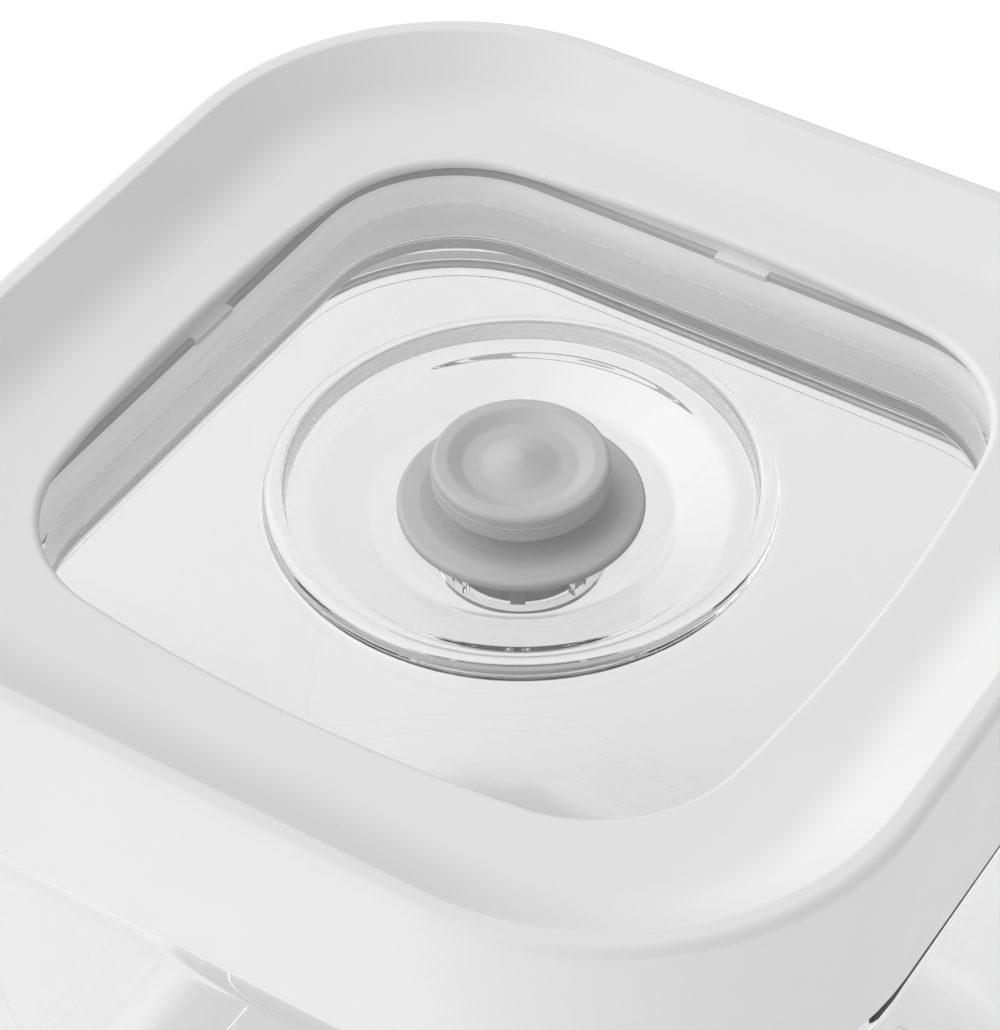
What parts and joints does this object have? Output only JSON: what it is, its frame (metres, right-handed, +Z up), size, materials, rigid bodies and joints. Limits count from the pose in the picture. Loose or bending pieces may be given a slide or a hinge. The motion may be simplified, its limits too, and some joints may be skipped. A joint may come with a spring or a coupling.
{
  "type": "vacuum food canister",
  "caption": "Square food canister with a press-on vacuum lid: clear box, white lid frame, clear window with a pump ring, soft lid seal and silicone vent valve.",
  "frame": {"origin": "middle of the container's base, on the surface that the canister stands on", "axes": "+Z up through the valve, -Y to the front, +X to the right seen from the front"},
  "size_m": [0.1, 0.1, 0.108],
  "materials": {
    "clear_box": "clear, polished",
    "white_frame": "satin",
    "clear_window": "clear, polished",
    "grey_silicone": "matt"
  },
  "bodies": {
    "container": {"container": "clear_box"},
    "lid": {"lid_frame": "white_frame", "window_tray": "clear_window", "lid_seal": "grey_silicone", "valve_cage": "clear_window"},
    "valve": {"vent_valve": "grey_silicone"}
  },
  "joints": [
    {"name": "lid_lift", "type": "slide", "parent": "container", "child": "lid", "axis": [0, 0, 1], "range_m": [0, 0.06]},
    {"name": "valve_lift", "type": "slide", "parent": "lid", "child": "valve", "axis": [0, 0, 1], "range_m": [0, 0.0015], "stiffness_N_per_m": 200}
  ]
}
